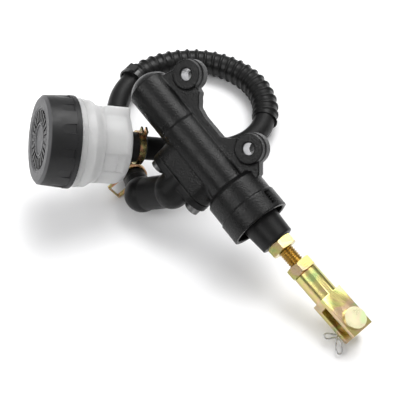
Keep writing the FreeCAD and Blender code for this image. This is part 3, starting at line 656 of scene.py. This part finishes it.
ball_profile = arc((0, 0), BALL_RADIUS, 179.9, 34.0, 22)
thread_stations = np.arange(18.2, ROD_END - 0.4, THREAD_PITCH / 12)
rod_profile = (ball_profile
               + [(5.0, NECK_RADIUS), (16.8, NECK_RADIUS), (17.6, 3.2), (18.1, ROD_RADIUS)]
               + [(float(one), ROD_RADIUS) for one in thread_stations]
               + [(ROD_END - 0.3, 3.7), (ROD_END, 3.3), (ROD_END, ON_AXIS)])
rod = lathe("pushrod_thread", rod_profile, ROD, thread_zinc, 40, thread_radius)
keep_sharp(rod, 50.0)
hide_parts("pushrod")
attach(rod, "rod")


# ---- clevis -------------------------------------------------------------------------

def prism(name, outline, low, high, place, surface, rounding):
    """A flat outline in a frame's X and Z, drawn out along Y, with rounded edges."""
    count = len(outline)
    corners = [place @ (Vector((ahead, side, up)) * MM)
               for side in (low, high) for ahead, up in outline]
    faces = [tuple(range(count)), tuple(range(2 * count - 1, count - 1, -1))]
    faces += [(index, count + index, count + (index + 1) % count, (index + 1) % count)
              for index in range(count)]
    thing = new_mesh(name, corners, faces, surface)
    edge = thing.modifiers.new("edge", "BEVEL")
    edge.width = rounding * MM
    edge.segments = 3
    edge.limit_method = "ANGLE"
    return freeze(thing)


def carve(thing, tool, operation="DIFFERENCE"):
    """Cut a closed tool out of an object, or join it on, and remove the tool."""
    step = thing.modifiers.new("carve", "BOOLEAN")
    step.operation = operation
    step.solver = "EXACT"
    step.object = tool
    freeze(thing)
    bpy.data.objects.remove(tool)


def round_bar(name, place, start, end, radius, chamfer, surface):
    """A closed turned bar along a frame's X axis with a small chamfer at each end."""
    return lathe(name, [(start, ON_AXIS), (start, radius - chamfer), (start + chamfer, radius),
                        (end - chamfer, radius), (end, radius - chamfer), (end, ON_AXIS)],
                 place, surface, 72)


FORK_START = 69.2
FORK_END = 92.2
FORK_HALF = 6.2
SLOT_START = 73.5
SLOT_HALF = 3.1
PIN_STATION = 85.8


def make_fork():
    """The clevis: a slotted block on a turned neck, with its pin's eye and its tapped hole."""
    fork = prism("clevis_fork", [(FORK_START, -FORK_HALF), (FORK_END, -FORK_HALF),
                                 (FORK_END, -SLOT_HALF), (SLOT_START, -SLOT_HALF),
                                 (SLOT_START, SLOT_HALF), (FORK_END, SLOT_HALF),
                                 (FORK_END, FORK_HALF), (FORK_START, FORK_HALF)],
                 -FORK_HALF, FORK_HALF, ROD, yellow_zinc, 0.35)
    carve(fork, round_bar("neck", ROD, 53.8, 70.6, 6.3, 0.45, yellow_zinc), "UNION")
    upright = Matrix.Rotation(math.radians(-90.0), 4, "Y")
    eye_frame = ROD @ Matrix.Translation(Vector((PIN_STATION, 0, 0)) * MM) @ upright
    carve(fork, round_bar("eye", eye_frame, -9.0, 9.0, 3.06, 0.1, yellow_zinc))
    carve(fork, round_bar("tapping", ROD, 50.0, 67.5, 4.05, 0.1, yellow_zinc))
    for face in fork.data.polygons:
        face.use_smooth = True
    keep_sharp(fork, 32.0)
    paint(fork, yellow_zinc)
    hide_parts("clevis")
    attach(fork, "rod")


make_fork()


# ---- elbow clamp --------------------------------------------------------------------

EAR_TURN = 24.0
EAR_REACH = -14.0
STRIP_SET_BACK = 5.0
STRIP_GAP = 0.05
STRIP_THICKNESS = 0.9
STRIP_HALF_WIDTH = 1.3
STRIP_FIRST = 218.0
STRIP_SWEEP = 284.0
STRIP_STEPS = 48


def make_elbow_clamp():
    """A strip round the hose's end, drawn out into a square open ear."""
    heading = (ROUTE[-1] - ROUTE[-2]).normalized()
    centre = ROUTE[-1] - heading * STRIP_SET_BACK * MM
    turn = Vector((1, 0, 0)).rotation_difference(heading).to_matrix().to_4x4()
    place = Matrix.Translation(centre) @ turn @ Matrix.Rotation(math.radians(EAR_TURN), 4, "X")
    inner = HOSE_RADIUS + STRIP_GAP
    ring = []
    for step in range(STRIP_STEPS + 1):
        angle = math.radians(STRIP_FIRST + STRIP_SWEEP * step / STRIP_STEPS)
        ring.append((inner * math.cos(angle), inner * math.sin(angle)))
    loop = ring + [(EAR_REACH, ring[-1][1]), (EAR_REACH, ring[0][1])]
    centre_line = [Vector((0, across, up)) for across, up in loop]
    corners = []
    faces = []
    count = len(centre_line)
    for index, point in enumerate(centre_line):
        before = centre_line[index - 1]
        after = centre_line[(index + 1) % count]
        along_strip = (after - before).normalized()
        out = Vector((0, along_strip.z, -along_strip.y))
        for side, lift in ((-STRIP_HALF_WIDTH, 0.0), (STRIP_HALF_WIDTH, 0.0),
                           (STRIP_HALF_WIDTH, STRIP_THICKNESS),
                           (-STRIP_HALF_WIDTH, STRIP_THICKNESS)):
            corners.append(place @ ((point + out * lift + Vector((side, 0, 0))) * MM))
    for index in range(count):
        after = (index + 1) % count
        for edge in range(4):
            follow = (edge + 1) % 4
            faces.append((index * 4 + edge, index * 4 + follow,
                          after * 4 + follow, after * 4 + edge))
    thing = new_mesh("elbow_clamp_strip", corners, faces, clamp_zinc)
    edge = thing.modifiers.new("edge", "BEVEL")
    edge.width = 0.15 * MM
    edge.segments = 2
    edge.limit_method = "ANGLE"
    freeze(thing)
    keep_sharp(thing, 32.0)
    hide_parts("elbow_clamp")
    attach(thing, "cylinder")


make_elbow_clamp()


# ---- wire clip ----------------------------------------------------------------------

CLIP_LEVEL = -7.9
CLIP_CLIMB = 0.05
CLIP_WIRE = 0.42


def make_wire_clip():
    """The wire through the pin's cross hole, bent back into a long loop on each side."""
    flat = [(0.0, 4.4), (0.0, 2.0), (0.0, -2.0), (0.0, -5.0), (-0.9, -6.6), (-2.6, -8.0),
            (-3.9, -9.8), (-3.2, -11.4), (-1.5, -11.2), (-0.3, -9.2), (0.5, -7.2), (2.6, -6.4),
            (5.0, -7.2), (7.2, -8.6), (8.4, -10.4), (7.6, -12.0), (5.6, -11.6), (3.8, -9.8),
            (2.0, -8.0), (0.9, -6.0), (0.9, -4.6)]
    points = [ROD @ (Vector((PIN_STATION + ahead, side, CLIP_LEVEL + CLIP_CLIMB * index)) * MM)
              for index, (ahead, side) in enumerate(flat)]
    wire = spline_object("wire_clip", points, CLIP_WIRE)
    paint(wire, spring_steel)
    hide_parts("split_pin")
    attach(wire, "pin")


make_wire_clip()


# ---- boot ---------------------------------------------------------------------------

BOOT_START = 8.5
BOOT_END = 34.0
boot_profile = closed_ring(
    [(BOOT_START, 9.2), (BOOT_START, 12.2), (BOOT_START + 0.4, 12.6), (BOOT_START + 2.0, 12.6)]
    + [(BOOT_START + 2.4, 12.2), (BOOT_START + 3.4, 11.0), (BOOT_START + 4.6, 10.2),
       (BOOT_START + 8.0, 9.9), (BOOT_START + 13.0, 9.7), (BOOT_START + 18.0, 9.3),
       (BOOT_END - 1.6, 8.9)]
    + arc((BOOT_END - 1.0, 7.95), 0.95, 80.0, 0.0, 8)
    + [(BOOT_END - 0.15, 6.6), (BOOT_END - 0.5, 4.6), (BOOT_END - 0.9, 4.04),
       (BOOT_END - 2.0, 4.04), (BOOT_END - 2.6, 5.2), (BOOT_END - 3.2, 7.2),
       (BOOT_START + 13.0, 8.2), (BOOT_START + 5.0, 8.6)])
boot = lathe("boot_rubber_cone", boot_profile, ROD, boot_rubber, 72)
keep_sharp(boot, 60.0)
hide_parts("boot")
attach(boot, "boot")
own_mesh(boot)


# ---- return spring ------------------------------------------------------------------


def coiled_spring():
    """A copy of the return spring with its own mesh, riding on the cylinder."""
    thing = bpy.data.objects.new("coil_wire", nodes["return_spring"].data.copy())
    bpy.context.scene.collection.objects.link(thing)
    paint(thing, spring_steel)
    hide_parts("return_spring")
    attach(thing, "cylinder")
    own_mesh(thing)


coiled_spring()


# ---- cap face -----------------------------------------------------------------------

SUNK = 1.05
RING_TOP = 0.3
RING_SHOULDER = 0.5
RING_SIDES = 96
BAR_COUNT = 24
BAR_TOP = 0.35
BAR_INNER = 9.4
BAR_OUTER = 15.0
BAR_HALF_WIDTH = 0.72
BAR_FLARE = 1.4
BAR_DRAFT = 0.14


def cap_rings():
    """Two raised rings on the cap's face."""
    corners = []
    faces = []
    for low, high in ((15.9, 16.6), (7.6, 8.4)):
        base = len(corners)
        profile = [(SUNK, low), (RING_SHOULDER, low + 0.05), (RING_TOP, low + 0.25),
                   (RING_TOP, high - 0.25), (RING_SHOULDER, high - 0.05), (SUNK, high)]
        for station, radius in profile:
            for step in range(RING_SIDES):
                angle = 2 * math.pi * step / RING_SIDES
                corners.append(round_point(RESERVOIR, station, radius, angle))
        for index in range(len(profile)):
            here = base + index * RING_SIDES
            there = base + (index + 1) % len(profile) * RING_SIDES
            for step in range(RING_SIDES):
                after = (step + 1) % RING_SIDES
                faces.append((here + step, here + after, there + after, there + step))
    return new_mesh("cap_face_rings", corners, faces, face_nylon)


def cap_bars():
    """A ring of short raised bars on the cap's face, in place of any lettering."""
    corners = []
    faces = []
    half = BAR_HALF_WIDTH
    for index in range(BAR_COUNT):
        angle = 2 * math.pi * index / BAR_COUNT
        base = len(corners)
        out = Vector((0, math.cos(angle), math.sin(angle)))
        across = Vector((0, -math.sin(angle), math.cos(angle)))
        for station, inset in ((SUNK, 0.0), (BAR_TOP, BAR_DRAFT)):
            for reach, side in ((BAR_INNER + inset, inset - half),
                                (BAR_OUTER - inset, inset - half * BAR_FLARE),
                                (BAR_OUTER - inset, half * BAR_FLARE - inset),
                                (BAR_INNER + inset, half - inset)):
                corners.append(RESERVOIR @ ((out * reach + across * side
                                             + Vector((station, 0, 0))) * MM))
        top = base + 4
        faces += [(base, base + 1, base + 2, base + 3), (top, top + 1, top + 2, top + 3)]
        faces += [(base + edge, base + (edge + 1) % 4, top + (edge + 1) % 4, top + edge)
                  for edge in range(4)]
    return new_mesh("cap_face_bars", corners, faces, guard_nylon)


for cap_piece in (cap_rings(), cap_bars()):
    keep_sharp(cap_piece, 30.0)
    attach(cap_piece, "cap")


# ---- bench --------------------------------------------------------------------------

floor_surface = finish(
    "bench", two_tone((0.93, 0.93, 0.94), (0.95, 0.95, 0.955)), 6.0, (0.6, 0.7), 0.02, 400.0)
HALF_BENCH = 4.0
BENCH_SIGNS = ((-1, -1), (1, -1), (1, 1), (-1, 1))
floor = new_mesh("bench_top", [(across * HALF_BENCH, deep * HALF_BENCH, BENCH)
                               for across, deep in BENCH_SIGNS],
                 [(0, 1, 2, 3)], floor_surface)
